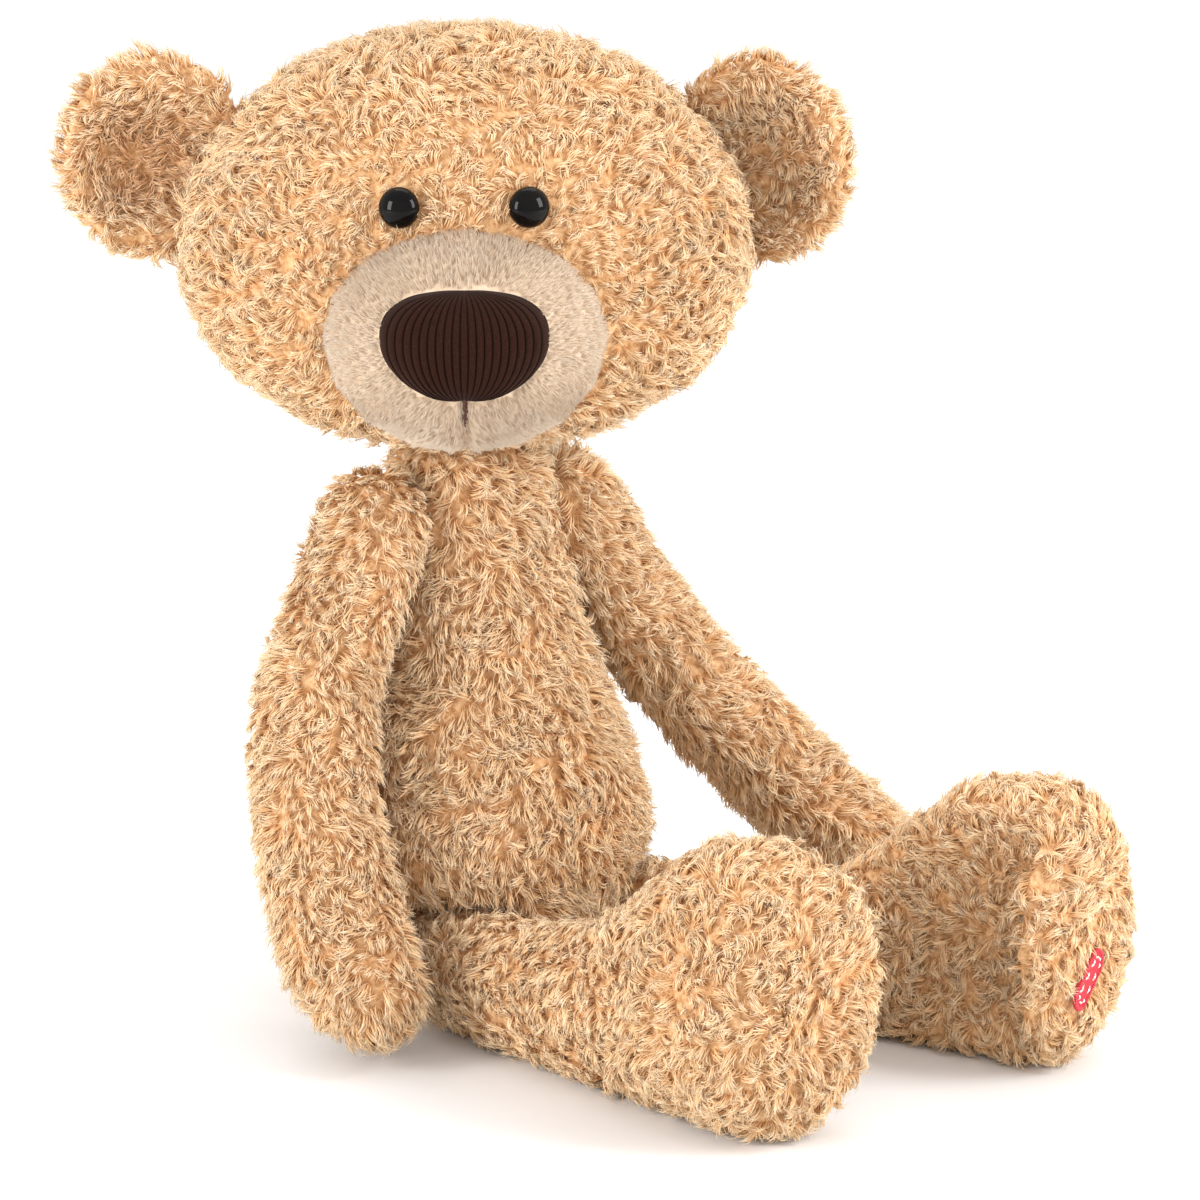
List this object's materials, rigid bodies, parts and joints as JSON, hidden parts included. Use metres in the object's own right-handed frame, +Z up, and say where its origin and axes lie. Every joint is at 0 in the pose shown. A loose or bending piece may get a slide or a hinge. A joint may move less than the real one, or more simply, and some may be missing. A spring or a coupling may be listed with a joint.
{
  "type": "jointed teddy bear",
  "caption": "Seated plush bear with a pale muzzle, ribbed nose and long limbs; its head, arms and legs turn on disc joints held by friction.",
  "frame": {"origin": "middle of the flat seat, on the surface that the bear sits on", "axes": "+Z up, the bear's torso faces -Y and +X is to the bear's own left"},
  "size_m": [0.2677, 0.283, 0.319],
  "materials": {
    "plush": "matte",
    "muzzle_plush": "matte",
    "corduroy": "matte",
    "thread": "matte",
    "filling": "matte",
    "eye_plastic": "gloss",
    "nylon": "satin",
    "patch_cloth": "matte"
  },
  "bodies": {
    "torso": {"right_shoulder_counter_disc": "nylon", "right_shoulder_lock_washer": "nylon", "left_shoulder_counter_disc": "nylon", "left_shoulder_lock_washer": "nylon", "right_hip_counter_disc": "nylon", "right_hip_lock_washer": "nylon", "left_hip_counter_disc": "nylon", "left_hip_lock_washer": "nylon", "neck_counter_disc": "nylon", "neck_lock_washer": "nylon", "torso_front_right_panel": "plush", "torso_back_right_panel": "plush", "torso_front_left_panel": "plush", "torso_back_left_panel": "plush", "torso_stuffing": "filling"},
    "head": {"right_eye": "eye_plastic", "right_eye_washer": "nylon", "right_ear_front_panel": "plush", "right_ear_back_panel": "plush", "left_eye": "eye_plastic", "left_eye_washer": "nylon", "left_ear_front_panel": "plush", "left_ear_back_panel": "plush", "head_right_panel": "plush", "head_left_panel": "plush", "head_stuffing": "filling", "muzzle_cover": "muzzle_plush", "muzzle_stuffing": "filling", "nose_pad": "corduroy", "mouth_stitch": "thread", "neck_disc": "nylon"},
    "right_arm": {"right_arm_outer_panel": "plush", "right_arm_inner_panel": "plush", "right_arm_stuffing": "filling", "right_arm_disc": "nylon"},
    "left_arm": {"left_arm_outer_panel": "plush", "left_arm_inner_panel": "plush", "left_arm_stuffing": "filling", "left_arm_disc": "nylon"},
    "right_leg": {"right_leg_outer_panel": "plush", "right_leg_inner_panel": "plush", "right_leg_sole": "plush", "right_leg_stuffing": "filling", "right_leg_disc": "nylon"},
    "left_leg": {"left_leg_outer_panel": "plush", "left_leg_inner_panel": "plush", "left_leg_sole": "plush", "left_leg_stuffing": "filling", "left_leg_disc": "nylon", "foot_patch": "patch_cloth"}
  },
  "joints": [
    {"name": "neck_turn", "type": "hinge", "parent": "torso", "child": "head", "pos_m": [0, 0, 0.19], "axis": [0, 0, 1], "continuous": true},
    {"name": "right_shoulder", "type": "hinge", "parent": "torso", "child": "right_arm", "pos_m": [-0.0255, -0.002, 0.16], "axis": [-0.9781, 0, 0.2079], "range_deg": [-110, 80]},
    {"name": "left_shoulder", "type": "hinge", "parent": "torso", "child": "left_arm", "pos_m": [0.0255, -0.002, 0.16], "axis": [-0.9781, 0, -0.2079], "range_deg": [-110, 80]},
    {"name": "right_hip", "type": "hinge", "parent": "torso", "child": "right_leg", "pos_m": [-0.022, 0.003, 0.02], "axis": [-0.9877, -0.1564, 0], "range_deg": [-100, 0]},
    {"name": "left_hip", "type": "hinge", "parent": "torso", "child": "left_leg", "pos_m": [0.022, -0.014, 0.02], "axis": [-0.9239, -0.3827, 0], "range_deg": [-100, 0]}
  ]
}
